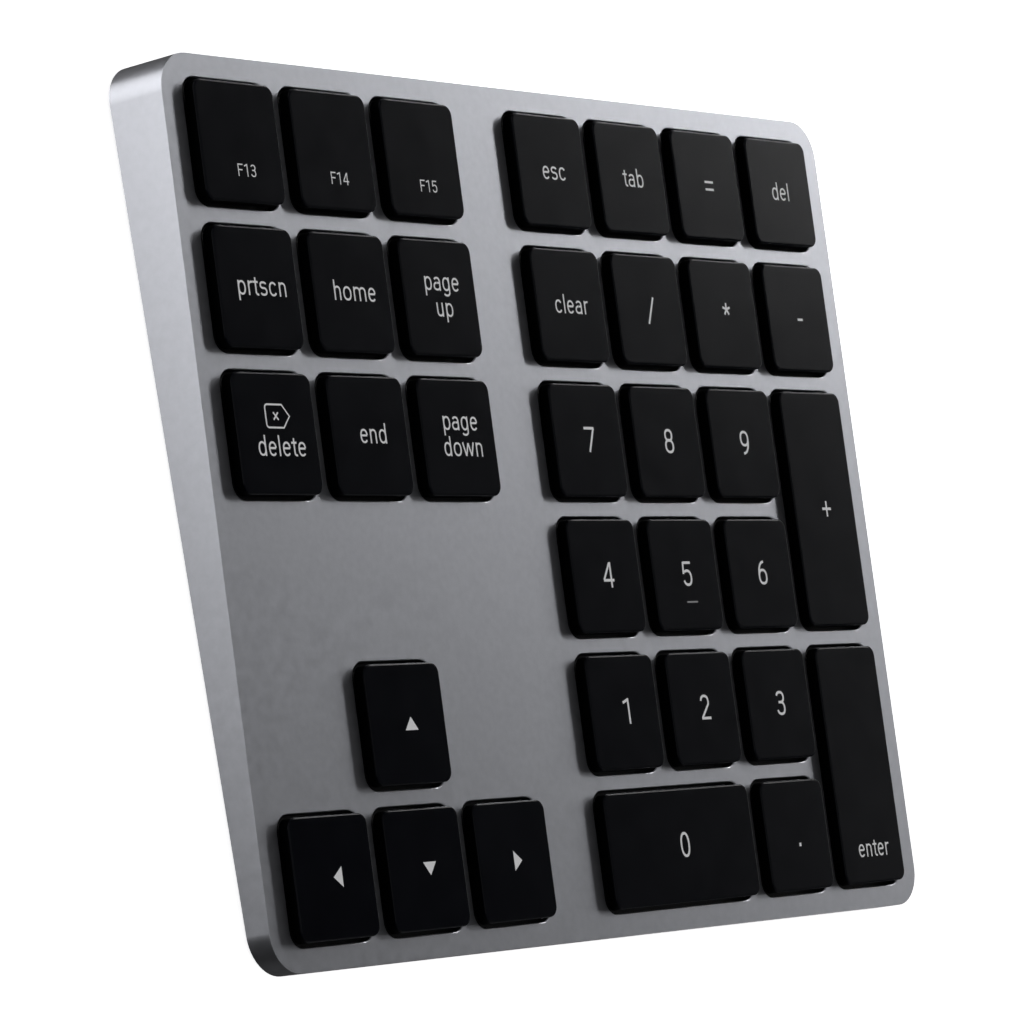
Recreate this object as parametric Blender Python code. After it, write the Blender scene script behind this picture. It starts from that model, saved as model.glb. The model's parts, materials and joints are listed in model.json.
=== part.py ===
"""Numeric keypad with 34 scissor keys in a wedge-shaped aluminium case.

Everything is laid out in the deck's own frame: X to the right, Y away from the user and Z square
out of the case's top face, in millimetres. The "deck" empty carries that frame, tilted so that
the underside is level and the feet stand on Z = 0.
"""

import math

import bmesh
import bpy
from mathutils import Matrix, Vector

MM = 0.001

# ---- case ----
CASE_W = 149.8
CASE_D = 118.1
CASE_R = 5.4                    # corner radius in plan
TILT = math.radians(2.74)       # the deck slopes down towards the user by this much
DEPTH_AT_CENTRE = 6.352         # from the deck's face down to the underside, at Y = 0
DECK_T = 1.2
WALL_T = 1.5
COVER_T = 0.7
FOOT_STAND = 1.0                # height of the underside above the table
GAP = 0.25                      # between pieces that touch on the real object
THIN_GAP = 0.15                 # the same, inside the stack of thin layers

# ---- keys ----
PITCH = 19.0                    # key to key, the full-size keyboard standard
ROW_0_Y = 2.5 * PITCH           # centre of the row furthest from the user
LEFT_X = -62.4                  # centre of the left block's first column
RIGHT_X = 5.0                   # centre of the right block's first column
WELL = 16.8                     # window in the deck for one key
WELL_R = 2.2
CAP = 15.8
CAP_R = 1.5
CAP_TOP = 1.5                   # the keycap's top above the deck
CAP_BOTTOM = -0.3
CAP_ROOF = 0.8
CAP_SKIRT = 0.9
CAP_EDGE = 0.3                  # bevel round the top
TRAVEL = 1.4

# name, column and row in key pitches
LEFT_KEYS = [
    ("f13", 0, 0), ("f14", 1, 0), ("f15", 2, 0),
    ("print_screen", 0, 1), ("home", 1, 1), ("page_up", 2, 1),
    ("delete", 0, 2), ("end", 1, 2), ("page_down", 2, 2),
    ("arrow_up", 1, 4), ("arrow_left", 0, 5), ("arrow_down", 1, 5), ("arrow_right", 2, 5),
]
RIGHT_KEYS = [
    ("esc", 0, 0), ("tab", 1, 0), ("equals", 2, 0), ("del", 3, 0),
    ("clear", 0, 1), ("divide", 1, 1), ("multiply", 2, 1), ("minus", 3, 1),
    ("seven", 0, 2), ("eight", 1, 2), ("nine", 2, 2), ("plus", 3, 2.5),
    ("four", 0, 3), ("five", 1, 3), ("six", 2, 3),
    ("one", 0, 4), ("two", 1, 4), ("three", 2, 4), ("enter", 3, 4.5),
    ("zero", 0.5, 5), ("point", 2, 5),
]
WIDE_KEYS = ("zero",)
TALL_KEYS = ("plus", "enter")

# ---- layers under the keys, as (bottom, top) ----
PLATE_Z = (-2.85, -2.5)
MEMBRANE_Z = (-2.4, -2.2)
DOME_SHEET_Z = (-2.1, -1.9)
SHEET_W = 145.0
SHEET_D = 112.6
DOME_RINGS = ((3.2, -2.0), (1.9, 0.2), (1.2, 0.55))     # radius and height, base to tip

# ---- stabiliser bars of the long keys ----
BAR_R = 0.4
BAR_HALF = 12.0                 # half the long run, between the two arms
BAR_HOOK = 1.5                  # the turned-out ends, which pivot in the plate
BAR_ARM = 7.0
BAR_RISE = 1.55                 # the long run's height above its pivots, key up
BAR_PIVOT_Z = -1.35
BAR_PIVOT_OFFSET = -1.2         # pivots from the key's centre, across the bar

# ---- fixings ----
SCREW_PLACES = ((-52.9, 38.0), (52.5, 38.0), (-33.9, -38.0), (33.5, -38.0))    # where four keys meet
POST_R = 2.0
POST_HOLE_R = 1.0
SCREW_R = 0.8
SCREW_HEAD_R = 1.7
SCREW_HEAD = (0.05, 0.3)        # above the underside
SINK_R = 2.0
SINK_DEPTH = 0.4
FOOT_X = 64.0
FOOT_Y = 49.0
FOOT_R = 4.5
FOOT_EDGE = 0.3
POCKET_DEPTH = 0.3

# ---- electronics, behind and under the rear keys ----
BOARD_X = (12.0, 64.0)
BOARD_Y = (40.5, 56.9)
BOARD_Z = (-7.45, -6.7)
CHIP = ((43.5, 50.5), (43.5, 50.5), (-6.55, -5.6))
RIBBON_SOCKET = ((22.0, 32.0), (43.2, 47.2), (-6.55, -5.2))
BATTERY_SOCKET = ((13.5, 18.0), (45.5, 49.5), (-6.55, -4.9))
BATTERY = ((-45.0, -5.0), (14.0, 50.0), (-5.95, -3.05))
BATTERY_EDGE = 0.8
RIBBON_W = 7.0
RIBBON_T = 0.2
RIBBON_PATH = ((36.4, -2.3), (39.5, -2.3), (38.5, -5.9), (43.05, -5.9))     # Y and Z
RIBBON_SLOT_Y = (36.2, 41.0)
LEAD_W = 2.2
LEAD_Z = (-6.1, -5.1)
LEAD_PATH = ((-4.85, 40.0), (5.0, 40.0), (3.5, 47.5), (13.35, 47.5))        # X and Y
PORT_X = 34.0
PORT_Z = -4.95
PORT_W = 8.94
PORT_H = 3.16
PORT_Y = (51.35, 58.65)
MOUTH_W = 8.34
MOUTH_H = 2.56
MOUTH_FLOOR_Y = 52.2
TONGUE_W = 6.69
TONGUE_H = 0.7
TONGUE_TIP_Y = 57.6
SWITCH_X = 56.5
SWITCH_Z = -4.6
SWITCH_TRAVEL = 2.0
SWITCH_BODY = ((52.0, 61.0), (52.3, 57.2), (-6.55, -3.1))
SLIDER_W = 3.0
SLIDER_H = 1.6
SLIDER_Y = (54.6, 58.75)
SLIDER_RIDGES = 3
SLIDER_RIDGE = 0.3

MATERIALS = {
    "anodised": ((0.27, 0.28, 0.30), 0.42, 1.0),
    "keycap": ((0.012, 0.014, 0.017), 0.45, 0.0),
    "cover": ((0.20, 0.21, 0.23), 0.5, 1.0),
    "steel": ((0.55, 0.55, 0.56), 0.35, 1.0),
    "film": ((0.55, 0.60, 0.58), 0.4, 0.0),
    "silicone": ((0.75, 0.76, 0.78), 0.6, 0.0),
    "rubber": ((0.03, 0.03, 0.032), 0.8, 0.0),
    "board": ((0.02, 0.16, 0.07), 0.5, 0.0),
    "pouch": ((0.60, 0.62, 0.65), 0.35, 0.0),
    "black_plastic": ((0.02, 0.02, 0.022), 0.5, 0.0),
    "white_plastic": ((0.75, 0.74, 0.70), 0.5, 0.0),
    "red_wire": ((0.45, 0.03, 0.03), 0.5, 0.0),
}


# ---- shapes ----
def underside_z(y):
    """Height of the case's underside, which is level, in the deck's frame."""
    return -y * math.tan(TILT) - DEPTH_AT_CENTRE


def above_underside(rise):
    """A plane parallel to the underside, as a function of y."""
    return lambda y: underside_z(y) + rise / math.cos(TILT)


def rounded_outline(width, depth, radius, steps):
    """Corner points of a rounded rectangle round the origin, anticlockwise."""
    points = []
    for turn in range(4):
        corner_x = (width / 2 - radius) * (1 if turn in (0, 3) else -1)
        corner_y = (depth / 2 - radius) * (1 if turn in (0, 1) else -1)
        for step in range(steps + 1):
            angle = math.radians(90) * (turn + step / steps)
            x = corner_x + radius * math.cos(angle)
            y = corner_y + radius * math.sin(angle)
            points.append((x, y))
    return points


def slot_outline(width, height, steps):
    """A round-ended slot round the origin; the ends stop just short of meeting their radius."""
    return rounded_outline(width, height, 0.49 * height, steps)


def circle(radius, steps, x=0.0, y=0.0):
    turns = [2 * math.pi * i / steps for i in range(steps)]
    return [(x + radius * math.cos(a), y + radius * math.sin(a)) for a in turns]


def bezier(control, steps):
    """Points along a cubic curve with four control points."""
    points = []
    for i in range(steps + 1):
        t = i / steps
        weights = ((1 - t) ** 3, 3 * t * (1 - t) ** 2, 3 * t * t * (1 - t), t ** 3)
        points.append(tuple(sum(w * p[k] for w, p in zip(weights, control)) for k in (0, 1)))
    return points


def strip_outline(path, width):
    """Outline of a strip of even width along a path, anticlockwise."""
    left = []
    right = []
    for i, (u, v) in enumerate(path):
        before = path[max(i - 1, 0)]
        after = path[min(i + 1, len(path) - 1)]
        along = Vector((after[0] - before[0], after[1] - before[1])).normalized()
        side = Vector((-along.y, along.x)) * width / 2
        left.append((u + side.x, v + side.y))
        right.append((u - side.x, v - side.y))
    return right + list(reversed(left))


def shifted(outline, x, y):
    return [(px + x, py + y) for px, py in outline]


def ring(bm, outline, z):
    """One ring of vertices. z is a height, or a function of y for a sloping ring."""
    heights = [z(y) if callable(z) else z for _, y in outline]
    return [bm.verts.new(Vector((x, y, h)) * MM) for (x, y), h in zip(outline, heights)]


def bridge(bm, lower, upper):
    """Walls between two rings of as many vertices, facing out where the rings run anticlockwise."""
    count = len(lower)
    for i in range(count):
        j = (i + 1) % count
        bm.faces.new((lower[i], lower[j], upper[j], upper[i]))


def stack(rings):
    """A closed solid through (outline, z) rings, lowest first."""
    bm = bmesh.new()
    loops = [ring(bm, outline, z) for outline, z in rings]
    for lower, upper in zip(loops, loops[1:]):
        bridge(bm, lower, upper)
    bm.faces.new(loops[-1])
    bm.faces.new(list(reversed(loops[0])))
    return bm


def prism(outline, bottom, top):
    return stack([(outline, bottom), (outline, top)])


def box(x, y, z):
    """A closed block between two values on each axis."""
    outline = [(x[0], y[0]), (x[1], y[0]), (x[1], y[1]), (x[0], y[1])]
    return prism(outline, z[0], z[1])


def upright(outline, x, z, y):
    """An outline drawn in X and Z and drawn out along Y, between y[0] and y[1]."""
    bm = prism(outline, -y[1], -y[0])
    turn = Matrix.Rotation(math.radians(90), 4, "X")
    bmesh.ops.transform(bm, matrix=Matrix.Translation(Vector((x, 0, z)) * MM) @ turn, verts=bm.verts)
    return bm


def merged(solids):
    """One mesh of several solids that don't touch, to cut or add in one step."""
    whole = bmesh.new()
    for solid in solids:
        mesh = bpy.data.meshes.new("solid")
        solid.to_mesh(mesh)
        solid.free()
        whole.from_mesh(mesh)
        bpy.data.meshes.remove(mesh)
    return whole


# ---- objects ----
def clear_scene():
    for old in list(bpy.data.objects):
        bpy.data.objects.remove(old)


def material(name, kind):
    colour, roughness, metallic = MATERIALS[kind]
    made = bpy.data.materials.new(name)
    made.use_nodes = True
    shader = made.node_tree.nodes["Principled BSDF"]
    shader.inputs["Base Color"].default_value = (*colour, 1)
    shader.inputs["Roughness"].default_value = roughness
    shader.inputs["Metallic"].default_value = metallic
    return made


def link(name, data, parent, at=(0, 0, 0)):
    made = bpy.data.objects.new(name, data)
    bpy.context.scene.collection.objects.link(made)
    made.parent = parent
    made.location = Vector(at) * MM
    return made


def add_piece(name, bm, kind, parent, at=(0, 0, 0)):
    mesh = bpy.data.meshes.new(name)
    bm.normal_update()
    bm.to_mesh(mesh)
    bm.free()
    mesh.materials.append(material(name, kind))
    return link(name, mesh, parent, at)


def combine(target, bm, operation="DIFFERENCE"):
    """Cuts a solid from a piece, or joins it on, with a boolean. Both are in the deck's frame."""
    mesh = bpy.data.meshes.new("cutter")
    bm.to_mesh(mesh)
    bm.free()
    cutter = link("cutter", mesh, target.parent)
    cutter.hide_render = True
    cutter.display_type = "WIRE"
    step = target.modifiers.new(operation.lower(), "BOOLEAN")
    step.operation = operation
    step.solver = "EXACT"
    step.object = cutter


# ---- layout ----
def key_table():
    """Every key's name, its centre, and its width and depth over those of a plain key."""
    keys = []
    for block_x, block in ((LEFT_X, LEFT_KEYS), (RIGHT_X, RIGHT_KEYS)):
        for name, column, row in block:
            extra_w = PITCH if name in WIDE_KEYS else 0.0
            extra_d = PITCH if name in TALL_KEYS else 0.0
            centre = (block_x + column * PITCH, ROW_0_Y - row * PITCH)
            keys.append((name, centre, extra_w, extra_d))
    return keys


def foot_places():
    sides = (("left", -FOOT_X), ("right", FOOT_X))
    ends = (("back", FOOT_Y), ("front", -FOOT_Y))
    return [(f"foot_{end}_{side}", x, y) for end, y in ends for side, x in sides]


# ---- case ----
def make_top_case(deck):
    outer = rounded_outline(CASE_W, CASE_D, CASE_R, 6)
    inner = rounded_outline(CASE_W - 2 * WALL_T, CASE_D - 2 * WALL_T, CASE_R - WALL_T, 6)
    case = add_piece("top_case", prism(outer, underside_z, 0.0), "anodised", deck)
    combine(case, prism(inner, above_underside(-1.0), -DECK_T))
    wells = []
    for _, (x, y), extra_w, extra_d in key_table():
        outline = rounded_outline(WELL + extra_w, WELL + extra_d, WELL_R, 2)
        wells.append(prism(shifted(outline, x, y), -DECK_T - 1.0, 1.0))
    combine(case, merged(wells))
    post_foot = above_underside(COVER_T + GAP)
    posts = [prism(circle(POST_R, 12, x, y), post_foot, -DECK_T / 2) for x, y in SCREW_PLACES]
    combine(case, merged(posts), "UNION")
    holes = [prism(circle(POST_HOLE_R, 10, x, y), underside_z(y), -DECK_T - GAP) for x, y in SCREW_PLACES]
    combine(case, merged(holes))
    through_wall = (CASE_D / 2 - WALL_T - 1.0, CASE_D / 2 + 1.0)
    port = upright(slot_outline(PORT_W + 2 * GAP, PORT_H + 2 * GAP, 4), PORT_X, PORT_Z, through_wall)
    slot_w = SLIDER_W + SWITCH_TRAVEL + 4 * GAP
    slot = upright(slot_outline(slot_w, SLIDER_H + 2 * GAP, 3), SWITCH_X, SWITCH_Z, through_wall)
    combine(case, merged([port, slot]))


def make_bottom_cover(deck):
    inset = WALL_T + GAP
    outline = rounded_outline(CASE_W - 2 * inset, CASE_D - 2 * inset, CASE_R - inset, 5)
    cover = add_piece("bottom_cover", prism(outline, underside_z, above_underside(COVER_T)), "cover", deck)
    below = above_underside(-1.0)
    holes = [prism(circle(POST_HOLE_R, 10, x, y), below, above_underside(COVER_T + 1.0))
             for x, y in SCREW_PLACES]
    combine(cover, merged(holes))
    sinks = [prism(circle(SINK_R, 14, x, y), below, above_underside(SINK_DEPTH)) for x, y in SCREW_PLACES]
    pockets = [prism(circle(FOOT_R + GAP, 20, x, y), below, above_underside(POCKET_DEPTH))
               for _, x, y in foot_places()]
    combine(cover, merged(sinks + pockets))


def make_feet(deck):
    profile = (
        (FOOT_R - FOOT_EDGE, -FOOT_STAND),
        (FOOT_R, FOOT_EDGE - FOOT_STAND),
        (FOOT_R, POCKET_DEPTH - THIN_GAP),
    )
    for name, x, y in foot_places():
        rings = [(circle(radius, 20, x, y), above_underside(rise)) for radius, rise in profile]
        add_piece(name, stack(rings), "rubber", deck)


def make_screws(deck):
    """Flat-headed screws: the head in the cover's countersink, the shank up in the case's post."""
    for number, (x, y) in enumerate(SCREW_PLACES, 1):
        head = circle(SCREW_HEAD_R, 14, x, y)
        shank = circle(SCREW_R, 14, x, y)
        head_low = above_underside(SCREW_HEAD[0])
        head_high = above_underside(SCREW_HEAD[1])
        tip = -DECK_T - 2 * GAP
        rings = [(head, head_low), (head, head_high), (shank, head_high), (shank, tip)]
        add_piece(f"cover_screw_{number}", stack(rings), "steel", deck)


# ---- layers under the keys ----
def clearance_holes():
    """Room for the screw posts in every layer."""
    return [prism(circle(POST_R + 2 * GAP, 12, x, y), -5.0, 0.0) for x, y in SCREW_PLACES]


def ribbon_slot():
    half = RIBBON_W / 2 + GAP
    middle = sum(RIBBON_SOCKET[0]) / 2
    return box((middle - half, middle + half), RIBBON_SLOT_Y, (-5.0, 0.0))


def make_layers(deck):
    outline = rounded_outline(SHEET_W, SHEET_D, CASE_R - WALL_T, 3)
    plate = add_piece("switch_plate", prism(outline, *PLATE_Z), "steel", deck)
    combine(plate, merged(clearance_holes() + [ribbon_slot()]))
    membrane = add_piece("membrane", prism(outline, *MEMBRANE_Z), "film", deck)
    combine(membrane, merged(clearance_holes() + [ribbon_slot()]))
    sheet = add_piece("dome_sheet", prism(outline, *DOME_SHEET_Z), "silicone", deck)
    combine(sheet, merged(clearance_holes()))
    domes = []
    for _, (x, y), _, _ in key_table():
        domes.append(stack([(circle(radius, 8, x, y), z) for radius, z in DOME_RINGS]))
    combine(sheet, merged(domes), "UNION")


# ---- keys ----
def make_keycap(deck, name, centre, extra_w, extra_d):
    """A shallow cap with a bevelled top edge, open below. Its origin is on its press axis."""
    w = CAP + extra_w
    d = CAP + extra_d
    inside_w = w - 2 * CAP_SKIRT
    inside_d = d - 2 * CAP_SKIRT
    outside = rounded_outline(w, d, CAP_R, 2)
    inside = rounded_outline(inside_w, inside_d, CAP_R - CAP_SKIRT, 2)
    bm = bmesh.new()
    top = ring(bm, rounded_outline(w - 2 * CAP_EDGE, d - 2 * CAP_EDGE, CAP_R - CAP_EDGE, 2), CAP_TOP)
    edge = ring(bm, outside, CAP_TOP - CAP_EDGE)
    rim = ring(bm, outside, CAP_BOTTOM)
    mouth = ring(bm, inside, CAP_BOTTOM)
    roof = ring(bm, inside, CAP_TOP - CAP_ROOF)
    bridge(bm, edge, top)
    bridge(bm, rim, edge)
    bridge(bm, mouth, rim)
    bridge(bm, roof, mouth)
    bm.faces.new(top)
    bm.faces.new(list(reversed(roof)))
    add_piece(f"key_{name}", bm, "keycap", deck, (*centre, 0))


def make_stabiliser(deck, name, centre, turned):
    """A bent wire under a long key. Its origin is on its pivots' axis, which runs along the key."""
    reach = math.sqrt(BAR_ARM ** 2 - BAR_RISE ** 2)
    end = BAR_HALF + BAR_HOOK
    corners = [(-end, 0, 0), (-BAR_HALF, 0, 0), (-BAR_HALF, reach, BAR_RISE),
               (BAR_HALF, reach, BAR_RISE), (BAR_HALF, 0, 0), (end, 0, 0)]
    wire = bpy.data.curves.new(name, "CURVE")
    wire.dimensions = "3D"
    wire.bevel_depth = BAR_R * MM
    wire.bevel_resolution = 1
    wire.use_fill_caps = True
    spline = wire.splines.new("POLY")
    spline.points.add(len(corners) - 1)
    for point, corner in zip(spline.points, corners):
        point.co = (*(Vector(corner) * MM), 1)
    wire.materials.append(material(name, "steel"))
    offset = Vector((BAR_PIVOT_OFFSET, 0) if turned else (0, BAR_PIVOT_OFFSET))
    x, y = Vector(centre) + offset
    bar = link(name, wire, deck, (x, y, BAR_PIVOT_Z))
    if turned:
        bar.rotation_euler = (0, 0, math.radians(-90))


def make_keys(deck):
    for name, centre, extra_w, extra_d in key_table():
        make_keycap(deck, name, centre, extra_w, extra_d)
        if extra_w or extra_d:
            make_stabiliser(deck, f"stabiliser_{name}", centre, turned=extra_d > 0)


# ---- electronics ----
def make_port(deck):
    """A USB-C socket: a round-ended tube, closed at the back, with a tongue in its mouth."""
    shell = upright(slot_outline(PORT_W, PORT_H, 4), PORT_X, PORT_Z, PORT_Y)
    port = add_piece("usb_c_port", shell, "steel", deck)
    mouth = upright(slot_outline(MOUTH_W, MOUTH_H, 4), PORT_X, PORT_Z, (MOUTH_FLOOR_Y, CASE_D))
    combine(port, mouth)
    tongue = box(
        (PORT_X - TONGUE_W / 2, PORT_X + TONGUE_W / 2),
        (MOUTH_FLOOR_Y - GAP, TONGUE_TIP_Y),
        (PORT_Z - TONGUE_H / 2, PORT_Z + TONGUE_H / 2))
    combine(port, tongue, "UNION")


def make_power_switch(deck):
    """A body with a channel that opens to the back, and a slider that shows in the wall's slot."""
    body = add_piece("power_switch_body", box(*SWITCH_BODY), "black_plastic", deck)
    half = (SLIDER_W + SWITCH_TRAVEL) / 2 + GAP
    channel = box(
        (SWITCH_X - half, SWITCH_X + half),
        (SLIDER_Y[0] - GAP, CASE_D),
        (SWITCH_Z - SLIDER_H / 2 - GAP, SWITCH_Z + SLIDER_H / 2 + GAP))
    combine(body, channel)
    ridge_w = SLIDER_W / SLIDER_RIDGES
    outline = [(-SLIDER_W / 2, SLIDER_Y[0]), (SLIDER_W / 2, SLIDER_Y[0])]
    for step in range(SLIDER_RIDGES):
        right = SLIDER_W / 2 - step * ridge_w
        outline += [(right, SLIDER_Y[1] - SLIDER_RIDGE), (right - ridge_w / 2, SLIDER_Y[1])]
    outline.append((-SLIDER_W / 2, SLIDER_Y[1] - SLIDER_RIDGE))
    slider = prism(outline, -SLIDER_H / 2, SLIDER_H / 2)
    at = (SWITCH_X - SWITCH_TRAVEL / 2, 0, SWITCH_Z)
    add_piece("power_switch_slider", slider, "black_plastic", deck, at)


def make_battery(deck):
    (x0, x1), (y0, y1), (low, high) = BATTERY
    middle = ((x0 + x1) / 2, (y0 + y1) / 2)
    full = shifted(rounded_outline(x1 - x0, y1 - y0, 2 * BATTERY_EDGE, 3), *middle)
    narrow = shifted(
        rounded_outline(x1 - x0 - BATTERY_EDGE, y1 - y0 - BATTERY_EDGE, 2 * BATTERY_EDGE, 3), *middle)
    rings = [(narrow, low), (full, low + BATTERY_EDGE), (full, high - BATTERY_EDGE), (narrow, high)]
    add_piece("battery", stack(rings), "pouch", deck)
    lead = strip_outline(bezier(LEAD_PATH, 10), LEAD_W)
    add_piece("battery_lead", prism(lead, *LEAD_Z), "red_wire", deck)
    add_piece("battery_socket", box(*BATTERY_SOCKET), "white_plastic", deck)


def make_ribbon(deck):
    """The flat cable from the membrane, down through the plate's slot to the board."""
    middle = sum(RIBBON_SOCKET[0]) / 2
    outline = strip_outline(bezier(RIBBON_PATH, 10), RIBBON_T)
    bm = prism(outline, -RIBBON_W / 2, RIBBON_W / 2)
    # Y and Z of the path become X and Y of the outline, so turn them back
    turn = Matrix(((0, 0, 1, middle * MM), (1, 0, 0, 0), (0, 1, 0, 0), (0, 0, 0, 1)))
    bmesh.ops.transform(bm, matrix=turn, verts=bm.verts)
    add_piece("flat_cable", bm, "film", deck)
    add_piece("flat_cable_socket", box(*RIBBON_SOCKET), "white_plastic", deck)


def make_board(deck):
    add_piece("circuit_board", box(BOARD_X, BOARD_Y, BOARD_Z), "board", deck)
    add_piece("controller_chip", box(*CHIP), "black_plastic", deck)


def make_deck_frame():
    deck = bpy.data.objects.new("deck", None)
    bpy.context.scene.collection.objects.link(deck)
    deck.rotation_euler = (TILT, 0, 0)
    back_wall = -underside_z(CASE_D / 2)
    deck.location = Vector((
        0,
        -back_wall * math.sin(TILT) / 2,
        DEPTH_AT_CENTRE * math.cos(TILT) + FOOT_STAND,
    )) * MM
    return deck


def main():
    clear_scene()
    deck = make_deck_frame()
    make_top_case(deck)
    make_bottom_cover(deck)
    make_feet(deck)
    make_screws(deck)
    make_layers(deck)
    make_keys(deck)
    make_board(deck)
    make_port(deck)
    make_power_switch(deck)
    make_battery(deck)
    make_ribbon(deck)


main()
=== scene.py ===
"""Looks of the numeric keypad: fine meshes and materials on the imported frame.

Lengths are in millimetres in the deck's own frame (X right, Y away from the user, Z square out of
the case's top face), and become metres in the row frame as each mesh is made.
"""
import json
import math

import bmesh
import bpy
from mathutils import Matrix, Vector
from mathutils.geometry import delaunay_2d_cdt


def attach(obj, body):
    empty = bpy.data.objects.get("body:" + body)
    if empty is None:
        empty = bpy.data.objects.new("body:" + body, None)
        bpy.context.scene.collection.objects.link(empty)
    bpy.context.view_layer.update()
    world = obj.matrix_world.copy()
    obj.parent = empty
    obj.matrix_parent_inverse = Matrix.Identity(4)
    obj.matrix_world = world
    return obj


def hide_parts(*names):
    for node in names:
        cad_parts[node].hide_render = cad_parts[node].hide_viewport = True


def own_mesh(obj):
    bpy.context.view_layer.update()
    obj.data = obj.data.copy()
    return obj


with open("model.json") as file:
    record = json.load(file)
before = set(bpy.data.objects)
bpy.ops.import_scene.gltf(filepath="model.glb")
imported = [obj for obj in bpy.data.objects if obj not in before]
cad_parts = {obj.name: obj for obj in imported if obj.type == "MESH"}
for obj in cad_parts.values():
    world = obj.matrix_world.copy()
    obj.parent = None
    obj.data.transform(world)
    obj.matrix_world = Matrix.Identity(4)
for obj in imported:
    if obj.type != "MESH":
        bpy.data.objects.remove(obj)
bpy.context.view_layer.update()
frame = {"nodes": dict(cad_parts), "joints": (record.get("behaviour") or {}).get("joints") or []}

MM = 0.001

# ---- camera, in degrees and millimetres ----
AZIMUTH = 80.911
ELEVATION = 35.920
ROLL = 74.820
DISTANCE = 675.22
TARGET = (-12.546, -0.866, 7.345)       # in the row frame, in millimetres
LENS = 174.406
SENSOR = 36.0
CLIP_START = 0.01       # metres

# ---- stage ----
FLOOR_HALF = 4.0                # metres
FLOOR_CELLS = 8
FLOOR_GLOW = 0.85
WORLD_GLOW = 0.032
WATTS_PER_RADIANCE = math.pi    # of an area light, for each square metre

# ---- case, in millimetres ----
CORNER_R = 5.4          # of the case's upright corners
DECK_T = 1.2
WALL_T = 1.5
COVER_T = 0.7
GAP = 0.25              # clearance between pieces
THIN_GAP = 0.15
WELL_GAP = 0.5          # from a keycap's side to the edge of its well
WELL_R = 2.2
WELL_EDGE = 0.22        # rounding of the deck's edge round a well
CASE_EDGE = 0.03        # rounding of the deck's and the walls' outer edges
POST_R = 2.0
POST_HOLE_R = 1.0
RIM = 0.2               # height of the bare metal at the bottom of the walls' inner faces
WELL_SHADE = 0.8        # where a well's painted black shade starts, as a share of its rounding

# ---- how finely curves are cut up ----
CORNER_STEPS = 12       # round a quarter corner
ROLL_STEPS = 4          # over a rounded edge of the deck or the case
CAP_STEPS = 8           # round a keycap's quarter corner
CAP_ROLL_STEPS = 5      # over a keycap's top edge
SLOT_STEPS = 10         # round a quarter of a slot's end
SMALL_STEPS = 4         # round the corners of small pieces
POST_STEPS = 32
HOLE_STEPS = 24
SCREW_STEPS = 40
FOOT_STEPS = 56
DOME_STEPS = 32
ARC_STEP = 9            # degrees, in a legend's strokes

# ---- cutting and shading ----
PAST = 1.0              # how far a cutter runs on beyond the piece
CROSSING = 0.004        # how far a rounding cut runs past the face it meets
WELD = 0.0015           # points nearer than this are one
SHARP = 30.0            # degrees; edges sharper than this stay sharp
TURNED_SHARP = 40.0     # the same for feet and keycaps
BAR_SHARP = 50.0        # for the homing bar
DOME_SHARP = 60.0
NORMAL_WEIGHT = 90      # how far large faces lead in the shading
FLAT_AREA = 30e-6       # square metres; a face this large is a flat one
FLAT_COSINE = 0.99995   # and so is one this nearly parallel to the deck
NOISE_DETAIL = 3.0
NOISE_SPAN = (0.3, 0.7)     # the part of a noise's range that is used
GLOSS_SPREAD = 0.05     # drift of a finish's roughness, as a share of it

# ---- keycaps ----
CAP_R = 1.5
CAP_EDGE = 0.25
CAP_ROOF = 0.8          # thickness of the top
CAP_SKIRT = 0.9         # thickness of the sides
CAP_RIM = 0.1           # softening of the rim below
CAP_FILLET = (0.3, 0.15)    # between the skirt and the roof: across both sides, and down
CAP_SINK = 0.006        # the top stays this far under the CAD's

# ---- under the keys ----
FILM_Z = (-2.1, -1.9)
FILM_CUT = (-5.0, 0.0)  # heights of the cutters that leave room for the posts
DOME_PROFILE = (        # radius and height
    (3.2, -1.9), (3.15, -1.72), (2.7, -1.25), (2.05, -0.15), (1.85, 0.12), (1.3, 0.3), (1.2, 0.5),
    (1.0, 0.55),
)
DOME_LIFT = 0.01        # of the whole dome
LINK_HALF = 4.8         # half the length of a scissor frame
LINK_T = 0.7
LINK_LOW = -1.8
LINK_HIGH = 0.6
LINK_CORNERS = (0.7, 0.35)      # outer and inner radius of a scissor frame
OUTER_LINK = (9.6, 0.9)     # width of the frame, and of its bars
INNER_LINK = (7.4, 0.85)

# ---- underside ----
SINK_R = 2.0
SINK_DEPTH = 0.4
FOOT_POCKET = 0.3
SOLE_LIFT = 0.001       # keeps the soles from lying in the floor's plane
DIMPLE = (0.55, 0.62)   # radii of the dimple in a sole, as shares of the foot's
DIMPLE_DEPTH = 0.12
FOOT_LIP = ((0.35, 0.0), (0.12, 0.08), (0.0, 0.3))      # inset and rise
HEAD_R = 1.7
HEAD_BEVEL = 0.08
HEAD_LOW = 0.05         # heights over the underside
HEAD_WIDE = 0.11
HEAD_HIGH = 0.3
SHANK_R = 0.8
TIP_SHARE = 0.7         # the tip's radius, as a share of the shank's
TIP_LENGTH = 0.2
DRIVE_R = 0.72
DRIVE_SIDES = 6
DRIVE_DEPTH = 0.32

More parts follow.
